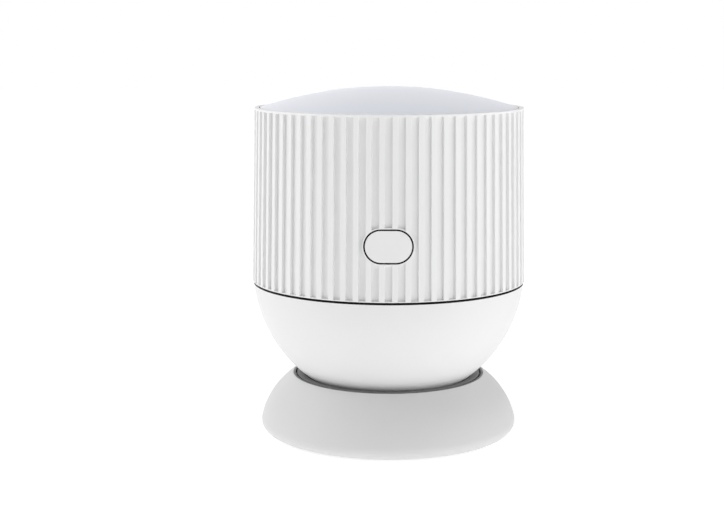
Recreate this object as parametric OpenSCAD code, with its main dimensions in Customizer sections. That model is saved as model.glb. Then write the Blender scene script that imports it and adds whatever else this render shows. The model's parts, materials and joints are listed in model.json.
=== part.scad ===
// Mesh wifi node: a ribbed canister whose ball-shaped bowl turns and tilts in the
// dish of a round, weighted pedestal.
// Millimetres, +Z up. The origin lies on the table under the middle of the
// pedestal, and the front, with the button, faces -Y.

/* [Canister] */
// Outer radius of the ribbed shell where it meets the bowl
shell_r = 52; // [50:0.5:58]
// Height of the ribbed shell
shell_h = 65.4; // [64:0.2:78]
// Radius that the shell loses between the bowl and its rim
shell_taper = 1.35; // [0.6:0.05:2]
// Wall left behind the grooves
shell_wall = 2; // [1.6:0.1:2.4]
// Plain flat left outside the cap's seat on the rim
rim_w = 1.85; // [1.7:0.05:2.2]
// Height of the dark seam between shell and bowl
seam_gap = 0.75; // [0.5:0.05:1.2]
// How far the seam lies below the centre of the ball
seam_drop = 4.6; // [3.6:0.2:6]
// How far the ball's radius is inside the shell's
seam_step = 0.2; // [0:0.05:0.6]
// Thickness of the bowl
bowl_wall = 2.2; // [1.8:0.1:2.6]

/* [Ribs] */
// Number of ribs round the shell
rib_count = 70; // [60:1:76]
// Width of the groove between two ribs
groove_w = 2.6; // [2:0.1:3]
// Depth of the grooves
rib_depth = 1.2; // [0.8:0.1:1.4]
// Plain band above the ribs
rim_band = 0.9; // [0.6:0.1:3]
// Plain band below the ribs
seam_band = 0.4; // [0.3:0.1:3]

/* [Cap] */
// Height of the domed cap above the rim
dome_h = 7.6; // [5:0.2:10]
// Thickness of the cap
cap_wall = 2; // [1.6:0.1:2.4]
// Gap round the cap, which also lets warm air out
cap_gap = 0.4; // [0.3:0.05:0.6]
// Depth of the cap's seat below the rim
cap_edge = 1.8; // [1.4:0.1:2.4]
// Depth of the cap's skirt below its seat
skirt_h = 4; // [3.5:0.1:5]

/* [Button] */
// Width of the pill-shaped button
button_w = 16.5; // [15:0.25:19]
// Height of the button
button_h = 11.25; // [10:0.25:13]
// Gap round the button
button_gap = 0.45; // [0.3:0.05:0.7]
// Height of the button's centre above the shell's lower edge
button_rise = 19.7; // [18:0.1:24]
// How far the button travels
button_travel = 0.6; // [0.4:0.05:0.7]

/* [Ports] */
// Width inside the port recess
port_w = 47; // [46:0.5:50]
// Wall of the port bezel
port_wall = 1.6; // [1.2:0.1:2]
// Distance of the port plate's outer face from the axis
port_y = 44.4; // [43.6:0.1:45]
// Width of a network jack
jack_w = 16; // [15.6:0.1:16.4]
// Height of a network jack
jack_h = 13.4; // [13:0.1:14]
// Depth of a network jack
jack_d = 21.3; // [18:0.1:22]
// Gap between neighbouring jacks
jack_gap = 1.2; // [0.8:0.1:1.6]

/* [Circuit board] */
// Thickness of the main board
board_t = 1.6; // [1:0.2:2]
// Height of the board above the bowl's top edge
board_rise = 4.8; // [4.6:0.1:6]
// Number of fins on the heat sink
fin_count = 9; // [5:1:12]
// Height of the fins
fin_h = 8; // [5:0.5:9]

/* [Inner frame] */
// Thickness of the frame's uprights, hoop and deck
frame_t = 2.2; // [1.8:0.1:2.6]
// Width of an upright
upright_w = 12; // [10:0.5:14]
// Space between the frame and the shell at the rim
frame_gap = 3.65; // [3.3:0.05:4.5]
// Height of the shell's rim above the frame's deck
deck_drop = 11; // [10:0.5:13]
// Length of an antenna
antenna_l = 34; // [28:1:36]

/* [Seat] */
// How far the ball's lowest point lies below the pedestal's lip
ball_sink = 11.1; // [10.6:0.1:11.6]
// Clearance between the ball and the dish
cup_gap = 0.4; // [0.3:0.05:0.6]
// Thickness of the dish
dish_wall = 3.4; // [3.2:0.1:3.8]
// Width of the flat on the dish's edge
dish_land = 2.5; // [2:0.1:3]
// Gap between the dish and the trim ring round it
seat_gap = 0.4; // [0.3:0.05:0.6]
// Width of the trim ring in the pedestal's mouth
trim_w = 0.95; // [0.8:0.05:1.3]
// Radius of the grip ring's round section
grip_a = 1.3; // [1:0.1:1.5]
// Angle of the grip ring from straight down, seen from the ball's centre
grip_angle = 30; // [26:1:33]
// Radius of the seat magnet
magnet_r = 10; // [8:0.5:10.5]
// Radius of the spigot that the dish turns on
spigot_r = 14; // [13.5:0.1:15]
// Radial clearance of the spigot in its bush
running_gap = 0.06; // [0.02:0.01:0.1]
// Tilt either way that the keeper plate still covers
tilt_max = 15; // [8:1:18]

/* [Pedestal] */
// Height of the pedestal's lip above the table
pedestal_h = 22.7; // [22:0.1:26]
// Radius that the side's arc would reach at its centre's height
pedestal_r = 49.7; // [48.5:0.1:54]
// Height of the centre of the side's arc
arc_z = -1; // [-3:0.5:1]
// Radius of the rounding under the side
pedestal_round = 4; // [3:0.1:5]
// Flat of the pedestal's lip outside the trim ring
lip_w = 0.35; // [0.3:0.05:0.8]
// Wall of the pedestal
pedestal_wall = 2.4; // [2:0.1:2.8]
// Thickness of the bottom plate
plate_t = 2.2; // [2:0.1:2.6]
// Thickness of the rubber foot
foot_t = 1.6; // [1.2:0.1:1.8]
// Height of the pedestal's lower edge above the table
foot_h = 0.6; // [0.4:0.1:0.9]

/* [Hidden] */
$fn = 96;

// Clearances that repeat
fit = 0.2;       // between parts that slip together
near = 0.05;     // between parts that are clamped, glued or stacked
seat_clear = 0.3; // between the ball and its grip ring, and under the dish
past = 1;        // how far a cut runs past what it cuts

// Ball, seam and shell
ball_r = shell_r - seam_step;
ball_z = pedestal_h - ball_sink + ball_r;
bowl_in_r = ball_r - bowl_wall;
seam_z = ball_z - seam_drop;
bowl_top = seam_z - seam_gap / 2;
shell_z = seam_z + seam_gap / 2;
rim_z = shell_z + shell_h;
rim_r = shell_r - shell_taper;
taper_angle = atan(shell_taper / shell_h);
shell_in = rib_depth + shell_wall;    // depth of the bore behind the ribs' faces
seam_in_r = shell_r - shell_in;
rim_in_r = rim_r - shell_in;

// The bowl's tongue, which snaps into the shell
tongue_h = 3.2;
tongue_t = 1.8;
tongue_r = seam_in_r - fit;
bead = 0.35;     // how far a snap bead stands out
bead_h = 1;      // height of a snap bead

// Cap
cap_r = rim_r - rim_w - cap_gap;
ledge_z = rim_z - cap_edge;
dome_r = (pow(cap_r, 2) + pow(dome_h, 2)) / (2 * dome_h);
dome_z = rim_z + dome_h - dome_r;
skirt_r = rim_in_r - fit;
skirt_t = 2;

// Button
button_z = shell_z + button_rise;
collar_w = 0.5;      // plain border round the button's opening
seal_clear = 0.1;    // between the button's face and its seal
seal_drop = 0.35;    // depth of the seal below the shell's face
flange_w = 1.5;      // how far the button's flange reaches past its face
button_back = -(seam_in_r - 3.3);
stem_r = 2.2;
stem_l = 3.5;
switch_gap = button_travel + fit;
switch_tip_y = button_back + stem_l + switch_gap;
switch_tip = 1;
switch_tip_r = 1.75;
switch_size = [6, 3.5, 6];
button_board_y = switch_tip_y + switch_tip + switch_size[1];
button_board = [22, 1.2, 16];

// Board, frame and what they carry
board_z = bowl_top + board_rise;
board_top = board_z + board_t;
frame_r = rim_in_r - frame_gap;
board_r = frame_r + 1.6;
post_at = frame_r - frame_t - 3.6;    // radius of the circle of posts
post_r = 3;
pilot_h = 9;         // depth of the screw hole in a post
post_angles = [35, 145, 215, 325];
screw_r = 1.3;
head_r = 2.4;
head_h = 1.4;
slot_w = 0.5;    // width of a screw's cross slot
frame_screw_l = 11;
tab_t = 2;       // thickness of the frame's feet
deck_top = rim_z - deck_drop;
deck_z = deck_top - frame_t;
hoop_rise = 9.2; // height of the hoop above the button's centre
hoop_z = button_z + hoop_rise;
hoop_h = 3;
window_in = 3;   // deck left inside its windows, round the lamp board
window_out = 6;  // deck left outside its windows
antenna_w = 10;
antenna_t = 0.8;
antenna_slot = 1.2;
lead_l = 9.5;    // height of the antennas' feet above the board
antenna_z = board_top + lead_l;
lead_r = 0.6;
lead_at = upright_w / 2 + 1.6;        // how far a lead runs beside its upright's middle
plug_r = 1;
plug_h = 1.4;
feed_h = 3;      // height of the antenna's foot, where its lead ends
can_size = [36, 28, 2.4];
chip_y = -10;    // middle of the shield can and the heat sink
pad_t = 1;
pad_in = 2;          // how far the pad lies inside the can's edge
memory_size = [11, 7, 2.4];
memory_gap = 4;  // between the shield can and the memory chips in front of it
coil_size = [15, 7, 5];               // the network coils in front of the jacks
coil_gap = 1.5;
capacitor_r = 3.5;
capacitor_h = 5;
sink_size = [44, 34, 2];
sink_z = board_top + can_size[2] + pad_t;
fin_t = 1.2;
sink_leg_r = 1.2;
sink_leg_in = 2;

// Light
led_board_r = 14;
led_board_t = 1.2;
led_peg_h = 1.6;
led_peg_r = 1.6;
led_size = [3, 1.6, 0.8];
led_at = 5.5;    // radius of the circle of lamps
led_board_z = deck_top + led_peg_h;
led_z = led_board_z + led_board_t;
guide_r = 18;
guide_foot_r = 12.5;
guide_foot_t = 2;

// Ports
port_z = board_top - 0.8;
port_h = jack_h + 1.6;
port_plate = 2;
port_round = 3;
jack_z = board_top;
jack_x = port_w / 2 - 1 - jack_w / 2;
jack_x2 = jack_x - jack_w - jack_gap;
inlet_size = [9, 7.3, 3.3];
inlet_x = (jack_x2 - jack_w / 2 - port_w / 2) / 2;
inlet_wall = 0.35;
socket_w = 11.9;     // a network socket's own opening
socket_h = 7;
socket_d = 12.5;
socket_rise = 4.1;   // height of the socket's floor above the board
step_w = 6;          // the two steps under a socket that take a plug's latch
step_drop = 1.6;
latch_w = 3.2;
latch_drop = 3;
contact_count = 8;
contact_pitch = 1.02;
contact_t = 0.45;
contact_drop = 1.1;  // how far the contacts lie under the socket's roof
contact_back = 2.5;
blade_h = 0.7;       // the power inlet's blade
blade_in = 2.4;
reset_size = [7, 5, 12.5];
reset_rise = 9.5;    // height of the pinhole above the board
reset_r = 1.1;
reset_tip = 0.6;     // how far the reset switch's pin ends behind the port plate
reset_pin = 7.6;
reset_back = port_y - port_plate - reset_tip - reset_pin - reset_size[1];

// Seat
cup_r = ball_r + cup_gap;
lip_drop = ball_z - pedestal_h;       // the lip's depth below the ball's centre
cup_edge_r = sqrt(pow(cup_r, 2) - pow(lip_drop, 2));
dish_r = cup_edge_r + dish_land;
well_r = dish_r + seat_gap;
trim_r = well_r + trim_w;
trim_t = 1.8;        // depth of the trim ring
lip_r = trim_r + lip_w;
grip_at = ball_r + seat_clear + grip_a;
boss_gap = 0.5;      // air between the magnet's boss and the ball
boss_top = ball_z - ball_r - boss_gap;
boss_r = magnet_r + 2;
skin = 0.8;          // plastic left over the magnet
keeper_t = 1.5;
keeper_r = bowl_in_r * sin(tilt_max + asin(magnet_r / bowl_in_r));
keeper_pin_r = 2;

// Bearing, from the bottom plate up
plate_top = foot_h + plate_t;
retainer_t = 1.3;
retainer_z = plate_top + seat_clear;
retainer_top = retainer_z + retainer_t;
deck_t = 2;
floor_z = retainer_top + seat_clear;
floor_top = floor_z + deck_t;
bush_t = 0.8;
bush_top = floor_top + bush_t;
hub_z = bush_top + near;
bush_wall = 2;
bush_r = spigot_r + running_gap + bush_wall;
bush_flange_w = 4;
bush_flange_r = bush_r + bush_flange_w;
hub_r = bush_flange_r + 1;
retainer_r = bush_r + 2;
retainer_screw_at = (magnet_r + spigot_r) / 2;
retainer_angles = [30, 150, 270];
retainer_screw_r = 0.75;
retainer_screw_l = 4.5;
retainer_head_r = 1.8;
retainer_head_h = 0.75;

// Pedestal
arc_d = pedestal_r - lip_r;
arc_h = pedestal_h - arc_z;
arc_r = (pow(arc_d, 2) + pow(arc_h, 2)) / (2 * arc_d);
arc_x = pedestal_r - arc_r;
round_z = foot_h + pedestal_round;
round_x = arc_x + sqrt(pow(arc_r - pedestal_round, 2) - pow(round_z - arc_z, 2));
tangent_z = arc_z + arc_r * (round_z - arc_z) / (arc_r - pedestal_round);
mouth_lip = 0.6;     // how far the mouth's edge lies outside the rounding's centre
mouth_r = round_x + mouth_lip;
plate_r = mouth_r - fit;
well_wall = 2;
well_out_r = well_r + well_wall;
ledge_w = 2.6;       // the ledge in the well that carries the deck
ledge_t = 1.4;
deck_r = well_r - fit;
ballast_in_r = well_out_r + seat_clear;
ballast_h = 6.5;
ballast_top = plate_top + near + ballast_h;
ballast_arc_r = arc_x + sqrt(pow(arc_r - pedestal_wall, 2) - pow(ballast_top - arc_z, 2));
ballast_r = min(mouth_r, ballast_arc_r) - fit;
foot_in = 3;         // how far the foot lies inside the bottom plate's edge
foot_r = plate_r - foot_in;
foot_w = 4.5;
bottom_screw_at = 28;
bottom_screw_l = 8;
bottom_boss_top = 10.4;

// ---------------------------------------------------------------- shared shapes

// A pill outline, w wide and h high
module pill(w, h) {
  translate([-(w - h) / 2, 0]) circle(h / 2);
  translate([(w - h) / 2, 0]) circle(h / 2);
  square([w - h, h], center = true);
}

// A rectangle with true round corners
module round_rect(w, h, r) {
  square([w - 2 * r, h], center = true);
  square([w, h - 2 * r], center = true);
  for (x = [-1, 1], y = [-1, 1])
    translate([x * (w / 2 - r), y * (h / 2 - r)]) circle(r);
}

// An outline stood upright in the XZ plane and run along Y from y0 to y1
module along_y(y0, y1, z) {
  translate([0, y1, z]) rotate([90, 0, 0]) linear_extrude(y1 - y0) children();
}

// A ring between two radii
module ring(r_in, r_out, z0, z1) {
  translate([0, 0, z0]) rotate_extrude()
    translate([r_in, 0]) square([r_out - r_in, z1 - z0]);
}

// The shell's outer cone, moved inwards by depth and run past both ends
module shell_cone(depth = 0, over = 0) {
  slope = shell_taper / shell_h * over;
  translate([0, 0, shell_z - over])
    cylinder(h = shell_h + 2 * over, r1 = shell_r - depth + slope, r2 = rim_r - depth - slope);
}

// A disc of sheet with the circle's centre line at height z
module disc(r, z, t) {
  translate([0, 0, z]) cylinder(h = t, r = r);
}

// Puts a copy at each of the frame's corners
module at_corners() {
  for (a = post_angles) rotate(a) children();
}

// A snap bead, or its groove, on a wall of radius r: it reaches outwards by depth, or
// inwards where depth is negative, and its root lies on the other side of the wall
module snap_ring(r, z, depth, h) {
  root = depth > 0 ? -0.5 : 0.5;
  translate([0, 0, z]) rotate_extrude() translate([r, 0])
    polygon([[root, 0], [0, 0], [depth, h * 0.35], [depth, h * 0.65], [0, h], [root, h]]);
}

// A screw along +Z: the head's top lies at z = 0 and the shank runs down
module screw(length, r, head, head_height) {
  difference() {
    union() {
      translate([0, 0, -head_height]) cylinder(h = head_height, r = head);
      translate([0, 0, -length]) cylinder(h = length - head_height, r = r);
    }
    for (a = [0, 90]) rotate(a)
      translate([-head * 0.6, -slot_w / 2, -head_height / 2])
        cube([head * 1.2, slot_w, head_height]);
  }
}

// ---------------------------------------------------------------- pedestal

// Half section of the pedestal's outside
module pedestal_outline() {
  intersection() {
    union() {
      translate([arc_x, arc_z]) circle(arc_r);
      square([arc_x, pedestal_h]);
    }
    translate([0, tangent_z]) square([pedestal_r + past, pedestal_h - tangent_z]);
  }
  translate([round_x, round_z]) circle(pedestal_round);
  translate([0, foot_h]) square([round_x, tangent_z - foot_h]);
}

// Half section of the hollow round the well
module pedestal_hollow() {
  intersection() {
    difference() {
      translate([arc_x, arc_z]) circle(arc_r - pedestal_wall);
      square([well_out_r, pedestal_h]);
    }
    translate([0, foot_h]) square([mouth_r, pedestal_h - foot_h - pedestal_wall]);
  }
}

module pedestal_shell() {
  color("white")
  rotate_extrude() difference() {
    pedestal_outline();
    pedestal_hollow();
    translate([0, floor_z - near]) square([well_r, pedestal_h]);
    translate([0, pedestal_h - trim_t - near]) square([trim_r + near, pedestal_h]);
    square([well_r - ledge_w, pedestal_h]);
    square([well_r, floor_z - near - ledge_t]);
    square([mouth_r, plate_top + near]);
  }
}

module trim_ring() {
  color("gray") ring(well_r, trim_r, pedestal_h - trim_t, pedestal_h);
}

// The floor of the well, dropped in from above and drawn down by the bottom screws
module turntable_deck() {
  color("lightgray")
  difference() {
    union() {
      disc(deck_r, floor_z, deck_t);
      at_corners() translate([bottom_screw_at, 0, plate_top + near])
        cylinder(h = bottom_boss_top - plate_top - near, r = post_r);
    }
    disc(bush_r + near, 0, pedestal_h);
    at_corners() translate([bottom_screw_at, 0, 0])
      cylinder(h = bottom_boss_top - past, r = screw_r);
  }
}

module bottom_plate() {
  color("lightgray")
  difference() {
    disc(plate_r, foot_h, plate_t);
    ring(foot_r - foot_w - near, foot_r + near, foot_h - past, foot_t + near);
    at_corners() translate([bottom_screw_at, 0, 0]) {
      cylinder(h = plate_top + past, r = screw_r + fit);
      cylinder(h = foot_h + head_h + near, r = head_r + fit);
    }
  }
}

module foot_ring() {
  color("dimgray") ring(foot_r - foot_w, foot_r, 0, foot_t);
}

module ballast_ring() {
  color("silver") ring(ballast_in_r, ballast_r, plate_top + near, ballast_top);
}

module bottom_screws() {
  color("silver") at_corners() translate([bottom_screw_at, 0, foot_h])
    rotate([180, 0, 0]) screw(bottom_screw_l, screw_r - near, head_r, head_h);
}

module bearing_bush() {
  color("ivory") {
    difference() {
      union() {
        disc(bush_r, floor_z, floor_top - floor_z + bush_t);
        disc(bush_flange_r, floor_top + near, bush_t - near);
      }
      disc(spigot_r + running_gap, floor_z - past, deck_t + bush_t + 2 * past);
    }
  }
}

// ---------------------------------------------------------------- seat

module seat_dish() {
  color("gray")
  difference() {
    union() {
      rotate_extrude() {
        difference() {
          intersection() {
            translate([0, ball_z]) circle(cup_r + dish_wall);
            square([dish_r, pedestal_h]);
          }
          translate([0, ball_z]) circle(cup_r);
        }
        difference() {
          translate([0, hub_z]) square([hub_r, boss_top - hub_z]);
          translate([0, ball_z]) circle(cup_r);
        }
      }
      disc(boss_r, hub_z, boss_top - hub_z);
      disc(spigot_r, retainer_top, boss_top - retainer_top - 1);
    }
    disc(magnet_r + near, retainer_top - past, boss_top - skin - retainer_top + past);
    rotate_extrude() grip_section(grip_a + near);
    for (a = retainer_angles) rotate(a) translate([retainer_screw_at, 0, retainer_top - past])
      cylinder(h = retainer_screw_l, r = retainer_screw_r + near);
  }
}

// The grip ring's round section, or its groove's, in the half plane of the seat
module grip_section(a) {
  translate([grip_at * sin(grip_angle), ball_z - grip_at * cos(grip_angle)]) circle(a);
}

module grip_ring() {
  color("dimgray") rotate_extrude() grip_section(grip_a);
}

module seat_magnet() {
  color("silver") disc(magnet_r, retainer_top + near, boss_top - skin - retainer_top - 2 * near);
}

module seat_retainer() {
  color("darkgray")
  difference() {
    disc(retainer_r, retainer_z, retainer_t - near);
    for (a = retainer_angles) rotate(a) translate([retainer_screw_at, 0, retainer_z - past]) {
      cylinder(h = retainer_t + 2 * past, r = retainer_screw_r + fit);
      cylinder(h = past + retainer_head_h + near, r = retainer_head_r + near);
    }
  }
}

module retainer_screws() {
  color("silver") for (a = retainer_angles) rotate(a)
    translate([retainer_screw_at, 0, retainer_z]) rotate([180, 0, 0])
      screw(retainer_screw_l, retainer_screw_r, retainer_head_r, retainer_head_h);
}

// ---------------------------------------------------------------- bowl and shell

module bowl() {
  color("white")
  difference() {
    union() {
      rotate_extrude() {
        difference() {
          intersection() {
            translate([0, ball_z]) circle(ball_r);
            square([ball_r, bowl_top]);
          }
          translate([0, ball_z]) circle(bowl_in_r);
        }
        intersection() {
          translate([tongue_r - tongue_t, bowl_top - tongue_h])
            square([ball_r, tongue_h]);
          translate([0, ball_z]) circle(ball_r - bowl_wall / 2);
        }
        translate([tongue_r - tongue_t, bowl_top - tongue_h]) square([tongue_t, 2 * tongue_h]);
      }
      intersection() {
        at_corners() translate([post_at, 0, 0]) cylinder(h = board_z, r = post_r);
        translate([0, 0, ball_z]) sphere(ball_r - bowl_wall / 2);
      }
      disc(keeper_pin_r, ball_z - ball_r + bowl_wall / 2, bowl_wall / 2 + keeper_t + 1);
    }
    snap_ring(tongue_r, shell_z + 1, -bead - near, bead_h + 2 * near);
    at_corners() translate([post_at, 0, board_z - pilot_h]) cylinder(h = pilot_h + past, r = screw_r);
  }
}

module keeper_plate() {
  color("silver")
  difference() {
    intersection() {
      rotate_extrude() difference() {
        intersection() {
          translate([0, ball_z]) circle(bowl_in_r - near);
          square([bowl_in_r, ball_z]);
        }
        translate([0, ball_z]) circle(bowl_in_r - near - keeper_t);
      }
      disc(keeper_r, 0, ball_z);
    }
    disc(keeper_pin_r + near, 0, ball_z);
  }
}

module seam_gasket() {
  color("black")
    ring(seam_in_r + near, shell_r - rib_depth - 0.4, bowl_top + near, shell_z - near);
}

// One groove's cutter at the front: its floor follows the shell's taper
module groove() {
  translate([0, rib_depth - shell_r, shell_z]) rotate([-taper_angle, 0, 0])
    translate([-groove_w / 2, -rib_depth - past, seam_band])
      cube([groove_w, rib_depth + past, (shell_h - rim_band) / cos(taper_angle) - seam_band]);
}

module rib_shell() {
  color("white")
  difference() {
    union() {
      difference() {
        shell_cone();
        for (i = [0 : rib_count - 1]) rotate(i * 360 / rib_count) groove();
        shell_cone(shell_in, past);
      }
      intersection() {
        difference() {
          shell_cone();
          shell_cone(shell_in, past);
        }
        along_y(-shell_r - past, 0, button_z)
          pill(button_w + 2 * (button_gap + collar_w), button_h + 2 * (button_gap + collar_w));
      }
      snap_ring(seam_in_r, shell_z + 1 + near, -bead, bead_h);
    }
    disc(cap_r + cap_gap, ledge_z, cap_edge + past);
    snap_ring(rim_in_r, ledge_z - skirt_h + 1 - near, bead, bead_h + 2 * near);
    along_y(-shell_r - past, 0, button_z)
      pill(button_w + 2 * button_gap, button_h + 2 * button_gap);
    along_y(0, shell_r + past, port_z + port_h / 2)
      round_rect(port_w + 2 * (port_wall + fit), port_h + 2 * (port_wall + fit), port_round + port_wall);
  }
}

// ---------------------------------------------------------------- cap and light

module dome_cap() {
  color("#dfe2ec")
  rotate_extrude() {
    difference() {
      intersection() {
        translate([0, dome_z]) circle(dome_r);
        translate([0, ledge_z + near]) square([cap_r, dome_h + cap_edge]);
      }
      intersection() {
        translate([0, dome_z]) circle(dome_r - cap_wall);
        square([skirt_r - skirt_t, rim_z + dome_h]);
      }
    }
    translate([skirt_r - skirt_t, ledge_z - skirt_h]) square([skirt_t, skirt_h + 1]);
  }
  color("#dfe2ec") snap_ring(skirt_r, ledge_z - skirt_h + 1, bead, bead_h);
}

module light_guide() {
  color("aliceblue", 0.5)
  rotate_extrude() intersection() {
    difference() {
      translate([0, led_z + near]) square([guide_r, rim_z + dome_h]);
      translate([0, led_z]) square([guide_foot_r - guide_foot_t, led_size[2] + fit]);
      translate([guide_foot_r, led_z]) square([guide_r, rim_z - led_z]);
    }
    translate([0, dome_z]) circle(dome_r - cap_wall - seat_clear);
  }
}

module led_board() {
  color("darkgreen") disc(led_board_r, led_board_z, led_board_t);
}

module status_leds() {
  color("lightyellow") for (a = [45 : 90 : 315]) rotate(a)
    translate([led_at, 0, led_z + led_size[2] / 2]) cube(led_size, center = true);
}

// ---------------------------------------------------------------- inner frame

module inner_frame() {
  color("lightgray")
  difference() {
    union() {
      at_corners() {
        translate([frame_r - frame_t, -upright_w / 2, board_top + near])
          cube([frame_t, upright_w, deck_top - board_top - near]);
        translate([post_at - post_r - 1, -upright_w / 2, board_top + near])
          cube([frame_r - post_at + post_r + 1, upright_w, tab_t]);
      }
      ring(frame_r - frame_t, frame_r, hoop_z, hoop_z + hoop_h);
      disc(frame_r, deck_z, frame_t);
      for (a = [90, 210, 330]) rotate(a)
        translate([led_board_r - 2 * led_peg_r, 0, deck_z])
          cylinder(h = frame_t + led_peg_h, r = led_peg_r);
      button_bracket();
    }
    at_corners() translate([post_at, 0, board_top - past])
      cylinder(h = tab_t + 2 * past, r = screw_r + fit);
    for (a = [10 : 90 : 280]) rotate(a) translate([0, 0, deck_z - past])
      rotate_extrude(angle = 50) translate([led_board_r + window_in, 0])
        square([frame_r - led_board_r - window_in - window_out, frame_t + 2 * past]);
  }
}

// Holds the button's board and hangs from the hoop
module button_bracket() {
  w = button_board[0];
  y = button_board_y + button_board[1];
  translate([-w / 2, y + near, button_z - button_board[2] / 2])
    cube([w, frame_t, hoop_z + hoop_h - button_z + button_board[2] / 2]);
  translate([-w / 2, -frame_r + 1, hoop_z]) cube([w, frame_r + y, hoop_h]);
}

// An antenna, a flat slotted plate on the outside of an upright, with a foot for its lead
module antenna(a) {
  color("darkgoldenrod") rotate(a) difference() {
    translate([frame_r + near, 0, antenna_z]) {
      translate([0, -antenna_w / 2, 0]) cube([antenna_t, antenna_w, antenna_l]);
      cube([antenna_t, lead_at + plug_r, feed_h]);
    }
    for (i = [0 : 2]) {
      y = (i % 2 == 0 ? -0.6 : -0.2) * antenna_w;
      translate([frame_r, y, antenna_z + antenna_l * (0.3 + 0.2 * i)])
        cube([antenna_t + past, antenna_w * 0.8, antenna_slot]);
    }
  }
}

module antenna_front_left() { antenna(post_angles[2]); }
module antenna_front_right() { antenna(post_angles[3]); }
module antenna_rear_left() { antenna(post_angles[1]); }
module antenna_rear_right() { antenna(post_angles[0]); }

module antenna_leads() {
  color("dimgray") at_corners()
    translate([frame_r + near + antenna_t / 2, lead_at, board_top + near]) {
      cylinder(h = lead_l - 2 * near, r = lead_r);
      cylinder(h = plug_h, r = plug_r);
    }
}

module frame_screws() {
  color("silver") at_corners() translate([post_at, 0, board_top + tab_t + 2 * near + head_h])
    screw(frame_screw_l, screw_r - near, head_r, head_h);
}

// ---------------------------------------------------------------- electronics

module main_board() {
  color("darkgreen")
  difference() {
    disc(board_r, board_z, board_t);
    translate([-board_r, port_y - port_plate - near, board_z - past])
      cube([2 * board_r, board_r, board_t + 2 * past]);
    at_corners() translate([post_at, 0, board_z - past])
      cylinder(h = board_t + 2 * past, r = screw_r + fit);
  }
}

// Chips and coils that stand on the board round the shield can
module board_chips() {
  memory_y = chip_y - can_size[1] / 2 - memory_gap - memory_size[1];
  coil_y = port_y - jack_d - coil_gap - coil_size[1];
  color("#303030") translate([0, 0, board_top]) {
    for (x = [-memory_size[0] - memory_gap / 2, memory_gap / 2])
      translate([x, memory_y, 0]) cube(memory_size);
    for (x = [jack_x, jack_x2])
      translate([x - coil_size[0] / 2, coil_y, 0]) cube(coil_size);
    translate([inlet_x, reset_back - coil_gap - capacitor_r, 0])
      cylinder(h = capacitor_h, r = capacitor_r);
  }
}

module shield_can() {
  color("silver") translate([0, chip_y, board_top + can_size[2] / 2]) cube(can_size, center = true);
}

module thermal_pad() {
  color("lightsteelblue") translate([0, chip_y, board_top + can_size[2] + pad_t / 2])
    cube([can_size[0] - 2 * pad_in, can_size[1] - 2 * pad_in, pad_t], center = true);
}

module heat_sink() {
  color("silver") translate([0, chip_y, sink_z]) {
    translate([-sink_size[0] / 2, -sink_size[1] / 2, 0]) cube(sink_size);
    for (i = [0 : fin_count - 1])
      translate([-sink_size[0] / 2 + i * (sink_size[0] - fin_t) / (fin_count - 1),
                 -sink_size[1] / 2, 0])
        cube([fin_t, sink_size[1], sink_size[2] + fin_h]);
    for (x = [-1, 1]) translate([x * (sink_size[0] / 2 - sink_leg_in), 0, board_top - sink_z])
      cylinder(h = sink_z - board_top + past, r = sink_leg_r);
  }
}

// A network jack with its stepped socket, standing at x
module lan_jack(x) {
  color("#3a3d42") translate([x, port_y, jack_z]) difference() {
    translate([-jack_w / 2, -jack_d, 0]) cube([jack_w, jack_d, jack_h]);
    translate([-socket_w / 2, -socket_d, socket_rise]) cube([socket_w, socket_d + past, socket_h]);
    translate([-step_w / 2, -socket_d, socket_rise - step_drop])
      cube([step_w, socket_d + past, step_drop + past]);
    translate([-latch_w / 2, -socket_d, socket_rise - latch_drop])
      cube([latch_w, socket_d + past, latch_drop + past]);
  }
}

module lan_jack_left() { lan_jack(jack_x2); }
module lan_jack_right() { lan_jack(jack_x); }

module jack_contacts() {
  color("gold") for (x = [jack_x2, jack_x], i = [0 : contact_count - 1])
    translate([x + (i - (contact_count - 1) / 2) * contact_pitch - contact_t / 2,
               port_y - socket_d, jack_z + socket_rise + socket_h - contact_drop])
      cube([contact_t, socket_d - contact_back, contact_t]);
}

module power_inlet() {
  color("silver") translate([inlet_x, 0, board_top + inlet_size[2] / 2]) {
    difference() {
      along_y(port_y - inlet_size[1], port_y - near, 0) pill(inlet_size[0], inlet_size[2]);
      along_y(port_y - inlet_size[1] + past, port_y + past, 0)
        pill(inlet_size[0] - 2 * inlet_wall, inlet_size[2] - 2 * inlet_wall);
    }
    along_y(port_y - inlet_size[1] + past / 2, port_y - past, 0)
      square([inlet_size[0] - blade_in, blade_h], center = true);
  }
}

// A side-pushed switch whose actuator reaches the pinhole
module reset_switch() {
  color("#303030") translate([inlet_x, reset_back, board_top]) {
    translate([-reset_size[0] / 2, 0, 0]) cube(reset_size);
    translate([0, reset_size[1] - past, reset_rise]) rotate([-90, 0, 0])
      cylinder(h = reset_pin + past, r = reset_r);
  }
}

module port_bezel() {
  color("whitesmoke")
  difference() {
    intersection() {
      shell_cone(near);
      along_y(port_y - port_plate, shell_r + past, port_z + port_h / 2)
        round_rect(port_w + 2 * port_wall, port_h + 2 * port_wall, port_round + port_wall - fit);
    }
    along_y(port_y, shell_r + past, port_z + port_h / 2) round_rect(port_w, port_h, port_round);
    for (x = [jack_x, jack_x2])
      translate([x - jack_w / 2 - near, 0, jack_z - near])
        cube([jack_w + 2 * near, shell_r, jack_h + 2 * near]);
    translate([inlet_x, 0, board_top + inlet_size[2] / 2])
      along_y(0, shell_r, 0) pill(inlet_size[0] + 2 * fit, inlet_size[2] + 2 * fit);
    translate([inlet_x, shell_r, board_top + reset_rise]) rotate([90, 0, 0])
      cylinder(h = shell_r, r = reset_r);
  }
}

// ---------------------------------------------------------------- button

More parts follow.
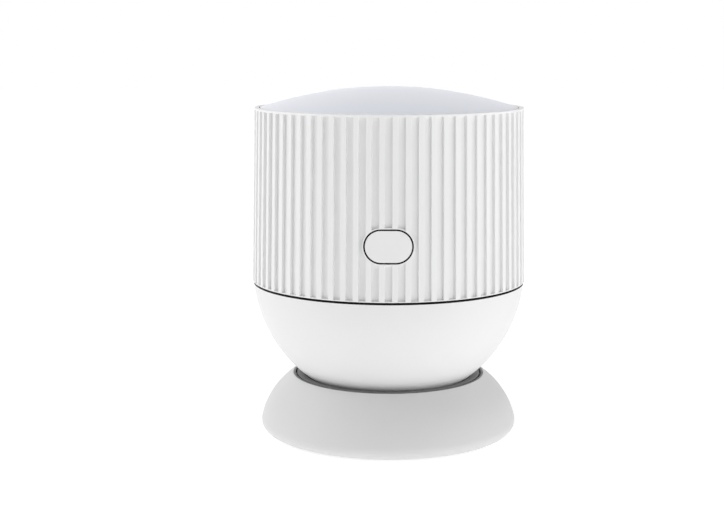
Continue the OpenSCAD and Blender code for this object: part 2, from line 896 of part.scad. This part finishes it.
module button_cap() {
  color("white") {
    intersection() {
      shell_cone();
      along_y(-shell_r - past, button_back, button_z) pill(button_w, button_h);
    }
    intersection() {
      shell_cone(shell_in + fit);
      along_y(-shell_r, button_back, button_z)
        pill(button_w + 2 * flange_w, button_h + 2 * flange_w);
    }
    translate([0, button_back - past, button_z]) rotate([-90, 0, 0])
      cylinder(h = stem_l + past, r = stem_r);
  }
}

// The soft ring in the shell's opening, which the button slides through
module button_seal() {
  color("black") intersection() {
    difference() {
      shell_cone(seal_drop);
      shell_cone(shell_in, past);
    }
    along_y(-shell_r, button_back, button_z) difference() {
      pill(button_w + 2 * (button_gap - near), button_h + 2 * (button_gap - near));
      pill(button_w + 2 * seal_clear, button_h + 2 * seal_clear);
    }
  }
}

module button_switch() {
  color("#303030") {
    translate([-switch_size[0] / 2, switch_tip_y + switch_tip, button_z - switch_size[2] / 2])
      cube(switch_size);
    translate([0, switch_tip_y, button_z]) rotate([-90, 0, 0])
      cylinder(h = switch_tip + past, r = switch_tip_r);
  }
}

module button_board() {
  color("darkgreen")
    translate([-button_board[0] / 2, button_board_y, button_z - button_board[2] / 2])
      cube(button_board);
}

pedestal_shell();
trim_ring();
turntable_deck();
bottom_plate();
foot_ring();
ballast_ring();
bottom_screws();
bearing_bush();
seat_dish();
grip_ring();
seat_magnet();
seat_retainer();
retainer_screws();
bowl();
keeper_plate();
seam_gasket();
rib_shell();
dome_cap();
light_guide();
led_board();
status_leds();
inner_frame();
antenna_front_left();
antenna_front_right();
antenna_rear_left();
antenna_rear_right();
antenna_leads();
main_board();
board_chips();
shield_can();
thermal_pad();
heat_sink();
frame_screws();
lan_jack_left();
lan_jack_right();
jack_contacts();
power_inlet();
reset_switch();
port_bezel();
button_cap();
button_seal();
button_switch();
button_board();
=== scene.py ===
"""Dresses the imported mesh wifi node, and sets its camera, light, floor and finishes.

Metres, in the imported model's own frame: +Z up, the front with the button towards -Y.
"""
import json
import math

import bmesh
import bpy
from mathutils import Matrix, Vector


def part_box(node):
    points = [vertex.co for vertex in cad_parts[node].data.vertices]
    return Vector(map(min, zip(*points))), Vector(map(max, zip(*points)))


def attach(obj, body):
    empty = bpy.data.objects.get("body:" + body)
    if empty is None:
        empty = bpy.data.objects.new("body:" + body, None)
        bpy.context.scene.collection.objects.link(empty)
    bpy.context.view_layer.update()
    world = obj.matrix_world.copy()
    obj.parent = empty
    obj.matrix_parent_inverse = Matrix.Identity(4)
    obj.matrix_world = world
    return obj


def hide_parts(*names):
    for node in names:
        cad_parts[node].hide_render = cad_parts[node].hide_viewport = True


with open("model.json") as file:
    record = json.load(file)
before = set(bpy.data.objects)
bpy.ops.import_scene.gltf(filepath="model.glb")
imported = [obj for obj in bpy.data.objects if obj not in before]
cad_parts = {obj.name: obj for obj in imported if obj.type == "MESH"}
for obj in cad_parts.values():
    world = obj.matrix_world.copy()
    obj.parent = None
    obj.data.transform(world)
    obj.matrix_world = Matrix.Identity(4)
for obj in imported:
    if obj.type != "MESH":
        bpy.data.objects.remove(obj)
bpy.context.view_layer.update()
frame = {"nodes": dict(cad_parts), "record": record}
NODES = frame["nodes"]
SLOT_OF = {part["node"]: part["material_slot"] for part in frame["record"]["subparts"]}
BODY_OF = {node: body for body, nodes in frame["record"]["behaviour"]["bodies"].items()
           for node in nodes}
MM = 0.001

# ------------------------------------------------------------------ finishes

# Nodes whose finish differs a little from their slot's: the pedestal gets the bowl's white made greyer,
# a painted shade for the bowl's shadow on it
FINISH_OF = {"pedestal_shell": "pedestal_white_painted_shade"}

PLASTIC_SHINE = 0.5      # how much of the light glances off: the shader's own middle
RUBBER_SHINE = 0.12

# Each slot's colour (linear), roughness, and the size and height of its moulded grain
PLASTICS = {
    "white_shell": dict(colour=(0.85, 0.85, 0.85), roughness=0.50,
                        grain=0.35 * MM, relief=0.003 * MM),
    "white_bowl": dict(colour=(0.80, 0.80, 0.80), roughness=0.62,
                       grain=0.30 * MM, relief=0.008 * MM),
    # Painted shade: the bowl's white made greyer, for the pedestal that lies in the bowl's shadow
    "pedestal_white_painted_shade": dict(colour=(0.73, 0.73, 0.73), roughness=0.62,
                           grain=0.30 * MM, relief=0.008 * MM),
    "cap_plastic": dict(colour=(0.83, 0.855, 0.93), roughness=0.38,
                        grain=0.45 * MM, relief=0.002 * MM),
    "button_plastic": dict(colour=(0.84, 0.84, 0.84), roughness=0.50,
                           grain=0.35 * MM, relief=0.005 * MM),
    # Painted shadow: the seam's rubber is near black, a dark ring put in the shadow gap between the
    # shell and the bowl
    "seam_rubber": dict(colour=(0.006, 0.006, 0.006), roughness=0.85,
                        grain=0.5 * MM, relief=0.02 * MM, shine=RUBBER_SHINE),
    "dish_plastic": dict(colour=(0.21, 0.21, 0.215), roughness=0.55,
                         grain=0.3 * MM, relief=0.008 * MM),
    "grip_rubber": dict(colour=(0.02, 0.02, 0.022), roughness=0.8,
                        grain=0.5 * MM, relief=0.02 * MM, shine=RUBBER_SHINE),
    "foot_rubber": dict(colour=(0.03, 0.03, 0.032), roughness=0.8,
                        grain=0.5 * MM, relief=0.02 * MM, shine=RUBBER_SHINE),
    "plate_plastic": dict(colour=(0.45, 0.45, 0.46), roughness=0.6,
                          grain=0.4 * MM, relief=0.015 * MM),
    "port_plastic": dict(colour=(0.66, 0.66, 0.67), roughness=0.55,
                         grain=0.35 * MM, relief=0.01 * MM),
    "jack_plastic": dict(colour=(0.015, 0.015, 0.017), roughness=0.45,
                         grain=0.4 * MM, relief=0.006 * MM),
    "switch_plastic": dict(colour=(0.012, 0.012, 0.014), roughness=0.45,
                           grain=0.4 * MM, relief=0.006 * MM),
    "frame_plastic": dict(colour=(0.55, 0.55, 0.56), roughness=0.6,
                          grain=0.4 * MM, relief=0.01 * MM),
    "lead_plastic": dict(colour=(0.03, 0.03, 0.033), roughness=0.4,
                         grain=0.4 * MM, relief=0.004 * MM),
    "chip_plastic": dict(colour=(0.02, 0.02, 0.022), roughness=0.6,
                         grain=0.2 * MM, relief=0.006 * MM),
    "pad_silicone": dict(colour=(0.30, 0.36, 0.46), roughness=0.75,
                         grain=0.3 * MM, relief=0.01 * MM),
    "bush_plastic": dict(colour=(0.72, 0.68, 0.58), roughness=0.4,
                         grain=0.4 * MM, relief=0.004 * MM),
    "led_plastic": dict(colour=(0.85, 0.82, 0.62), roughness=0.25,
                        grain=0.4 * MM, relief=0.002 * MM),
}
METALS = {
    "contact_metal": dict(colour=(0.83, 0.60, 0.20), roughness=0.25),
    "inlet_metal": dict(colour=(0.55, 0.56, 0.58), roughness=0.32),
    "antenna_foil": dict(colour=(0.66, 0.48, 0.22), roughness=0.40),
    "can_metal": dict(colour=(0.60, 0.61, 0.63), roughness=0.35),
    "sink_metal": dict(colour=(0.58, 0.59, 0.61), roughness=0.42),
    "screw_metal": dict(colour=(0.45, 0.46, 0.48), roughness=0.35),
    "ballast_metal": dict(colour=(0.14, 0.14, 0.145), roughness=0.65),
    "magnet_metal": dict(colour=(0.62, 0.63, 0.65), roughness=0.15),
    "keeper_metal": dict(colour=(0.48, 0.49, 0.51), roughness=0.4),
}


def blank_material(name):
    """A new material, its nodes and links, and its Principled shader."""
    mat = bpy.data.materials.new(name)
    mat.use_nodes = True
    nodes, links = mat.node_tree.nodes, mat.node_tree.links
    return mat, nodes, links, nodes["Principled BSDF"]


NOISE_MIDDLE = (0.3, 0.7)     # between which nearly all of a noise texture lies


def noise(nodes, links, size, detail=2.0, stretch=(1, 1, 1)):
    """Noise in the model's own frame, with features about size across."""
    coords = nodes.new("ShaderNodeTexCoord")
    mapping = nodes.new("ShaderNodeMapping")
    mapping.inputs["Scale"].default_value = [s / size for s in stretch]
    texture = nodes.new("ShaderNodeTexNoise")
    texture.inputs["Scale"].default_value = 1.0
    texture.inputs["Detail"].default_value = detail
    links.new(coords.outputs["Object"], mapping.inputs["Vector"])
    links.new(mapping.outputs["Vector"], texture.inputs["Vector"])
    return texture


def spread(nodes, links, texture, level, change):
    """The texture's middle range spread from change under the level to change over it."""
    ramp = nodes.new("ShaderNodeMapRange")
    ramp.inputs["From Min"].default_value, ramp.inputs["From Max"].default_value = NOISE_MIDDLE
    ramp.inputs["To Min"].default_value = level - change
    ramp.inputs["To Max"].default_value = level + change
    links.new(texture.outputs["Fac"], ramp.inputs["Value"])
    return ramp.outputs["Result"]


def tint(nodes, links, texture, colour, change):
    """The colour, made lighter and darker by a share of it over the texture."""
    mix = nodes.new("ShaderNodeMix")
    mix.data_type = "RGBA"
    mix.inputs["A"].default_value = [c * (1 - change) for c in colour] + [1]
    mix.inputs["B"].default_value = [min(1, c * (1 + change)) for c in colour] + [1]
    links.new(texture.outputs["Fac"], mix.inputs["Factor"])
    return mix.outputs["Result"]


def relief_from(nodes, links, texture, height, shader):
    """Bump of the given height from the texture."""
    bump = nodes.new("ShaderNodeBump")
    bump.inputs["Strength"].default_value = 1.0
    bump.inputs["Distance"].default_value = height
    links.new(texture.outputs["Fac"], bump.inputs["Height"])
    links.new(bump.outputs["Normal"], shader.inputs["Normal"])


DRIFT_SIZE = 18 * MM
DRIFT_TINT = 0.012            # share by which a moulding's colour drifts
MOULDED_GLOSS = 0.03          # by how much its roughness changes
MOULDED_DETAIL = 3.0


def plastic(name, colour, roughness, grain, relief, shine=PLASTIC_SHINE):
    """Moulded plastic or rubber: fine grain, and faint drifts of colour and gloss."""
    mat, nodes, links, shader = blank_material(name)
    shader.inputs["Specular IOR Level"].default_value = shine
    drift = noise(nodes, links, DRIFT_SIZE)
    fine = noise(nodes, links, grain, detail=MOULDED_DETAIL)
    links.new(tint(nodes, links, drift, colour, DRIFT_TINT), shader.inputs["Base Color"])
    links.new(spread(nodes, links, fine, roughness, MOULDED_GLOSS), shader.inputs["Roughness"])
    relief_from(nodes, links, fine, relief, shader)
    return mat


BRUSHED_SIZE = 0.25 * MM
BRUSHED_STRETCH = (1, 0.05, 1)
BRUSHED_CHANGE = 0.06         # of its colour, as a share, and of its roughness
BRUSHED_RELIEF = 0.004 * MM


def metal(name, colour, roughness):
    """Sheet or turned metal with a fine brushed grain."""
    mat, nodes, links, shader = blank_material(name)
    shader.inputs["Metallic"].default_value = 1.0
    brushed = noise(nodes, links, BRUSHED_SIZE, stretch=BRUSHED_STRETCH)
    links.new(tint(nodes, links, brushed, colour, BRUSHED_CHANGE), shader.inputs["Base Color"])
    links.new(spread(nodes, links, brushed, roughness, BRUSHED_CHANGE), shader.inputs["Roughness"])
    relief_from(nodes, links, brushed, BRUSHED_RELIEF, shader)
    return mat


BOARD_GREEN = {"Color1": (0.010, 0.090, 0.035, 1), "Color2": (0.012, 0.100, 0.040, 1),
               "Mortar": (0.030, 0.150, 0.060, 1)}
TRACK_PITCH = 6 * MM
TRACK_WIDTH = 0.03            # as a share of the pitch
BOARD_GRAIN = 0.4 * MM
BOARD_RELIEF = 0.004 * MM
BOARD_ROUGHNESS = 0.35
BOARD_GLOSS = 0.05


def laminate(name):
    """Circuit board: green solder mask over a faint weave of copper tracks."""
    mat, nodes, links, shader = blank_material(name)
    tracks = nodes.new("ShaderNodeTexBrick")
    tracks.inputs["Scale"].default_value = 1 / TRACK_PITCH
    tracks.inputs["Mortar Size"].default_value = TRACK_WIDTH
    for socket, green in BOARD_GREEN.items():
        tracks.inputs[socket].default_value = green
    coords = nodes.new("ShaderNodeTexCoord")
    links.new(coords.outputs["Object"], tracks.inputs["Vector"])
    links.new(tracks.outputs["Color"], shader.inputs["Base Color"])
    fine = noise(nodes, links, BOARD_GRAIN)
    links.new(spread(nodes, links, fine, BOARD_ROUGHNESS, BOARD_GLOSS), shader.inputs["Roughness"])
    relief_from(nodes, links, fine, BOARD_RELIEF, shader)
    return mat


ACRYLIC_COLOUR = (0.92, 0.95, 0.98)
ACRYLIC_CLEAR = 0.9           # share of the light that goes through
ACRYLIC_IOR = 1.49
ACRYLIC_DRIFT = 2 * MM
ACRYLIC_TINT = 0.01
ACRYLIC_ROUGHNESS = 0.30      # frosted
ACRYLIC_GLOSS = 0.05


def acrylic(name):
    """Frosted clear acrylic for the light guide."""
    mat, nodes, links, shader = blank_material(name)
    shader.inputs["Transmission Weight"].default_value = ACRYLIC_CLEAR
    shader.inputs["IOR"].default_value = ACRYLIC_IOR
    drift = noise(nodes, links, ACRYLIC_DRIFT)
    links.new(tint(nodes, links, drift, ACRYLIC_COLOUR, ACRYLIC_TINT), shader.inputs["Base Color"])
    links.new(spread(nodes, links, drift, ACRYLIC_ROUGHNESS, ACRYLIC_GLOSS), shader.inputs["Roughness"])
    return mat


def all_finishes():
    """Every material slot's material, by slot."""
    made = {slot: plastic(slot, **look) for slot, look in PLASTICS.items()}
    made.update({slot: metal(slot, **look) for slot, look in METALS.items()})
    made["board_laminate"] = laminate("board_laminate")
    made["clear_acrylic"] = acrylic("clear_acrylic")
    return made


def dress_nodes(finishes):
    """Gives every CAD node the finish that the record names for it."""
    for node, slot in SLOT_OF.items():
        NODES[node].data.materials[0] = finishes[slot]


# ------------------------------------------------------------------ rounded edges

WELD = 0.001 * MM             # corners nearer than this are one
FLAT = math.radians(0.05)     # faces that meet flatter than this are one
SHARP = math.radians(30)      # edges that turn more than this are moulded edges
ROUND_STEPS = 3

# Radius of each piece's rounded edges, in mm
ROUNDINGS = {
    "rib_shell": 0.18, "dome_cap": 0.25, "bowl": 0.10, "pedestal_shell": 0.15, "seat_dish": 0.08,
    "button_cap": 0.12, "seam_gasket": 0.12, "button_seal": 0.06, "trim_ring": 0.08,
    "port_bezel": 0.20, "lan_jack_left": 0.10, "lan_jack_right": 0.10, "power_inlet": 0.08,
    "foot_ring": 0.20, "bottom_plate": 0.10, "bottom_screws": 0.08,
}

SKIN = 1 * MM                 # how far in from its outside a round piece still shows
GROOVED_SKIN = 5.2 * MM       # the same for the shell, to inside its grooves' floors and taper
BUTTON_SKIN = 1.2 * MM        # from the button's foremost point to behind its front edge
CAP_DEPTH = 2.5 * MM          # from the shell's rim to under the cap's edge
TOP_FACE = 0.1 * MM           # edges this near to a piece's top lie on its top face

# The seam's gasket is a dark ring standing in for the seam's shadow; these widen it
GASKET_PROUD = 0.03 * MM      # how far the seam's gasket stands out from the bowl
GASKET_SWELL = 0.04 * MM      # how much thicker it is, above and below
GASKET_LAP = 0.25 * MM        # how far its lip reaches down over the bowl's edge

# The button's seal is a dark ring standing in for the shadow in the gap round the button; these widen
# it
SEAL_WIDTH = 0.3 * MM
SEAL_PROUD = 0.37 * MM        # how far the button's seal comes out, to the shell's face
SEAL_SWELL_OUT = 0.03 * MM    # how much it widens towards the shell
SEAL_SWELL_IN = 0.08 * MM     # and towards the button
SEAL_LAP = 0.07 * MM          # how far its front lips reach over both edges besides

TRIM_WALL = 0.1 * MM          # corners this near to the trim ring's bore lie on it
TRIM_OPENED = 0.25 * MM       # how far its bore is opened


def placed(name, data):
    """A new object in the scene."""
    thing = bpy.data.objects.new(name, data)
    bpy.context.scene.collection.objects.link(thing)
    return thing


def middle(edge):
    return (edge.verts[0].co + edge.verts[1].co) / 2


def from_axis(point):
    return math.hypot(point.x, point.y)


def welded(node):
    """The node's shape as a bmesh, with its split corners joined again."""
    shape = bmesh.new()
    shape.from_mesh(NODES[node].data)
    bmesh.ops.remove_doubles(shape, verts=shape.verts, dist=WELD)
    return shape


def gasket_widened_as_shadow(node):
    """The seam's near-black gasket, a painted shadow in the seam, swollen so that its lip laps the
    bowl's edge and the dark line shows wider.
    """
    shape = welded(node)
    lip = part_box("bowl")[1].x + GASKET_PROUD
    low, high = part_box(node)
    for vert in shape.verts:
        outside = from_axis(vert.co) > high.x - SKIN
        if outside:
            vert.co.xy *= lip / from_axis(vert.co)
        if vert.co.z > (low.z + high.z) / 2:
            vert.co.z += GASKET_SWELL
        else:
            vert.co.z -= GASKET_LAP if outside else GASKET_SWELL
    return shape


def seal_widened_as_shadow(node):
    """The button's dark seal, a painted shadow in the gap round the button, swollen so that its lips
    lap the edges of its gap and the dark line shows wider.
    """
    shape = welded(node)
    low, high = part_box(node)
    centre = (low + high) / 2
    spine = (high.x - low.x - high.z + low.z) / 2     # half of the pill's straight middle
    outer = (high.z - low.z) / 2
    halfway = outer - SEAL_WIDTH / 2
    face = max(from_axis(vert.co) for vert in shape.verts) - SKIN
    for vert in shape.verts:
        at = vert.co.copy()
        root_x = max(-spine, min(spine, at.x - centre.x)) + centre.x
        away = Vector((at.x - root_x, 0, at.z - centre.z))
        lap = 0
        if from_axis(at) > face:
            at.xy *= 1 + SEAL_PROUD / from_axis(at)
            lap = SEAL_LAP
        widen = SEAL_SWELL_OUT + lap if away.length > halfway else -SEAL_SWELL_IN - lap
        vert.co = at + away.normalized() * widen
    return shape


def open_trim(node):
    """The trim ring with its bore opened, so that the dark line round the dish shows."""
    shape = welded(node)
    bore = min(from_axis(vert.co) for vert in shape.verts)
    for vert in shape.verts:
        if from_axis(vert.co) < bore + TRIM_WALL:
            vert.co.xy *= 1 + TRIM_OPENED / from_axis(vert.co)
    return shape


RESHAPED = {"seam_gasket": gasket_widened_as_shadow, "button_seal": seal_widened_as_shadow, "trim_ring": open_trim}


def seen_edges():
    """For the nodes whose edges don't all show, what tells from an edge's middle if it does."""
    shell_out, shell_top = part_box("rib_shell")[1].x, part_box("rib_shell")[1].z
    bowl_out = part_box("bowl")[1].x
    pedestal_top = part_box("pedestal_shell")[1].z
    dish_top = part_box("seat_dish")[1].z
    button_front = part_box("button_cap")[0].y
    return {
        "rib_shell": lambda at: from_axis(at) > shell_out - GROOVED_SKIN,
        "dome_cap": lambda at: at.z > shell_top - CAP_DEPTH,
        "bowl": lambda at: from_axis(at) > bowl_out - SKIN,
        "pedestal_shell": lambda at: at.z > pedestal_top - TOP_FACE,
        "seat_dish": lambda at: at.z > dish_top - TOP_FACE,
        "button_cap": lambda at: at.y < button_front + BUTTON_SKIN,
    }


def round_edges(shape, radius, shows):
    """Rounds the outward moulded edges that show."""
    bmesh.ops.dissolve_limit(shape, angle_limit=FLAT, verts=shape.verts, edges=shape.edges)
    edges = [edge for edge in shape.edges
             if edge.is_manifold and edge.is_convex and edge.calc_face_angle() > SHARP
             and shows(middle(edge))]
    bmesh.ops.bevel(shape, geom=edges, offset=radius, offset_type="OFFSET", segments=ROUND_STEPS,
                    profile=0.5, affect="EDGES", clamp_overlap=False)
    shape.verts.index_update()


def stand_in(node, shape, finish):
    """Shows the shape in the node's place, on its body and in its slot."""
    mesh = bpy.data.meshes.new(node + "_rounded")
    mesh.from_pydata([vert.co.copy() for vert in shape.verts], [],
                     [[vert.index for vert in face.verts] for face in shape.faces])
    shape.free()
    mesh.shade_smooth()
    mesh.set_sharp_from_angle(angle=SHARP)
    mesh.materials.append(finish)
    piece = placed(node + "_rounded", mesh)
    even = piece.modifiers.new("even_normals", "WEIGHTED_NORMAL")
    even.keep_sharp = True
    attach(piece, BODY_OF[node])
    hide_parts(node)


def soften_edges(finishes):
    """Stands a copy with rounded edges in for each node whose moulded edges show."""
    seen = seen_edges()
    for node, radius in ROUNDINGS.items():
        shape = RESHAPED.get(node, welded)(node)
        round_edges(shape, radius * MM, seen.get(node, lambda at: True))
        stand_in(node, shape, finishes[FINISH_OF.get(node, SLOT_OF[node])])


# ------------------------------------------------------------------ stage

CAMERA_AT = Vector((0.0, -0.5530, 0.1547))
CAMERA_DIP = math.radians(9.206)     # how far it looks down
CAMERA_PAN = math.radians(1.05)      # how far it is turned to the left
CAMERA_LENS = 72.66                  # mm


def add_camera():
    """The photograph's camera, as fitted to the object's rims, seam and button."""
    data = bpy.data.cameras.new("camera")
    data.lens = CAMERA_LENS
    camera = placed("camera", data)
    camera.location = CAMERA_AT
    camera.rotation_euler = (math.pi / 2 - CAMERA_DIP, 0, CAMERA_PAN)
    bpy.context.scene.camera = camera


def seen_ray(nodes, links):
    """1 for rays that see the stage from the camera, by reflection or through glass."""
    path = nodes.new("ShaderNodeLightPath")
    total = path.outputs["Is Camera Ray"]
    for name in ("Is Glossy Ray", "Is Transmission Ray"):
        either = nodes.new("ShaderNodeMath")
        either.operation = "MAXIMUM"
        links.new(total, either.inputs[0])
        links.new(path.outputs[name], either.inputs[1])
        total = either.outputs[0]
    return total


FLOOR_SIZE = 6.0             # m
# The floor's own white, and the glow by which it lights the object from below, are made dimmer near the
# object: a painted shadow round it. That glow is painted light.
FLOOR_WHITE_AND_PAINTED_SHADOW = (0.75, 1.0)     # white that it shows by itself, near the object and far off
FLOOR_SHADE = 0.45           # how much of the light on it shows, and so of the shadow
FLOOR_PAINTED_GLOW_AND_SHADOW = (0.55, 0.70)   # light that it gives the object, near the object and far off
FLOOR_BOUNCE = 0.75          # how much of the light on it reaches the object
PAINTED_SHADOW_FADE = (0.06, 0.35)     # distances between which FLOOR_WHITE_AND_PAINTED_SHADOW goes from near to far
PAINTED_GLOW_SHADOW_FADE = (0.05, 0.14)    # and FLOOR_PAINTED_GLOW_AND_SHADOW


def glowing(nodes, links, name, share):
    """A matt surface that throws back a share of the light, and its glow's strength."""
    matt, glow = nodes.new("ShaderNodeBsdfDiffuse"), nodes.new("ShaderNodeEmission")
    both = nodes.new("ShaderNodeAddShader")
    matt.name, glow.name = name + "_matt", name + "_glow"
    matt.inputs["Color"].default_value = (share, share, share, 1)
    links.new(matt.outputs[0], both.inputs[0])
    links.new(glow.outputs[0], both.inputs[1])
    return both.outputs[0], glow.inputs["Strength"]


def painted_shadow_by_distance(nodes, links, levels, fade):
    """A level that changes with the distance from the model's axis; lower near the object, it paints a
    shadow round it on the floor.
    """
    coords = nodes.new("ShaderNodeTexCoord")
    distance = nodes.new("ShaderNodeVectorMath")
    distance.operation = "LENGTH"
    links.new(coords.outputs["Object"], distance.inputs[0])
    level = nodes.new("ShaderNodeMapRange")
    level.inputs["From Min"].default_value, level.inputs["From Max"].default_value = fade
    level.inputs["To Min"].default_value, level.inputs["To Max"].default_value = levels
    links.new(distance.outputs["Value"], level.inputs["Value"])
    return level.outputs["Result"]


def add_floor():
    """A white ground that keeps the object's shadow, and glows to light it from below as painted light;
    its white and its glow are dimmer near the object, a painted shadow round it.
    """
    mesh = bpy.data.meshes.new("floor")
    half = FLOOR_SIZE / 2
    mesh.from_pydata([(-half, -half, 0), (half, -half, 0), (half, half, 0), (-half, half, 0)],
                     [], [(0, 1, 2, 3)])
    floor = placed("floor", mesh)
    mat = bpy.data.materials.new("floor")
    mat.use_nodes = True
    nodes, links = mat.node_tree.nodes, mat.node_tree.links
    nodes.clear()
    pick, out = nodes.new("ShaderNodeMixShader"), nodes.new("ShaderNodeOutputMaterial")
    links.new(seen_ray(nodes, links), pick.inputs["Fac"])
    unseen, painted_glow_strength = glowing(nodes, links, "unseen", FLOOR_BOUNCE)
    links.new(painted_shadow_by_distance(nodes, links, FLOOR_PAINTED_GLOW_AND_SHADOW, PAINTED_GLOW_SHADOW_FADE), painted_glow_strength)
    seen, white_and_painted_shadow_strength = glowing(nodes, links, "seen", FLOOR_SHADE)
    links.new(painted_shadow_by_distance(nodes, links, FLOOR_WHITE_AND_PAINTED_SHADOW, PAINTED_SHADOW_FADE), white_and_painted_shadow_strength)
    links.new(unseen, pick.inputs[1])
    links.new(seen, pick.inputs[2])
    links.new(pick.outputs[0], out.inputs["Surface"])
    mesh.materials.append(mat)


SKY_LIGHT = 0.20             # how bright the sky is where it lights, not where it is seen


def add_sky():
    """Even light from all round, white where it is seen."""
    world = bpy.data.worlds.new("studio")
    bpy.context.scene.world = world
    world.use_nodes = True
    nodes, links = world.node_tree.nodes, world.node_tree.links
    level = nodes.new("ShaderNodeMapRange")
    level.inputs["To Min"].default_value = SKY_LIGHT
    level.inputs["To Max"].default_value = 1.0
    links.new(seen_ray(nodes, links), level.inputs["Value"])
    links.new(level.outputs["Result"], nodes["Background"].inputs["Strength"])
    nodes["Background"].inputs["Color"].default_value = (1, 1, 1, 1)


# Each soft box's direction and height in degrees, from +X towards +Y, its width and
# height in metres, and its brightness, where 1 is white
LAMPS = {
    "right_box": (0, 8, 0.78, 0.40, 2.1),
    "front_right_box": (-45, 8, 0.78, 0.40, 2.2),
    "front_box": (-90, 5, 0.60, 0.20, 0.9),
    "left_box": (190, 8, 0.78, 0.40, 1.7),
    "left_high_box": (180, 45, 0.90, 0.80, 1.6),
    "back_box": (110, 22, 1.20, 0.60, 0.35),
    "top_box": (90, 80, 0.50, 0.50, 2.2),
}
LAMP_AIM = Vector((0, 0, 0.07))
LAMP_DISTANCE = 1.0


def add_lamps():
    """Soft boxes that face the object and that the camera doesn't see."""
    for name, (around, up, width, height, brightness) in LAMPS.items():
        data = bpy.data.lights.new(name, "AREA")
        data.shape = "RECTANGLE"
        data.size, data.size_y = width, height
        data.energy = brightness * math.pi * width * height
        lamp = placed(name, data)
        around, up = math.radians(around), math.radians(up)
        towards = Vector((math.cos(up) * math.cos(around), math.cos(up) * math.sin(around),
                          math.sin(up)))
        lamp.location = LAMP_AIM + LAMP_DISTANCE * towards
        lamp.rotation_euler = (-towards).to_track_quat("-Z", "Y").to_euler()
        lamp.visible_camera = False


bpy.context.scene.view_settings.view_transform = "Standard"
finishes = all_finishes()
dress_nodes(finishes)
soften_edges(finishes)
add_camera()
add_floor()
add_sky()
add_lamps()
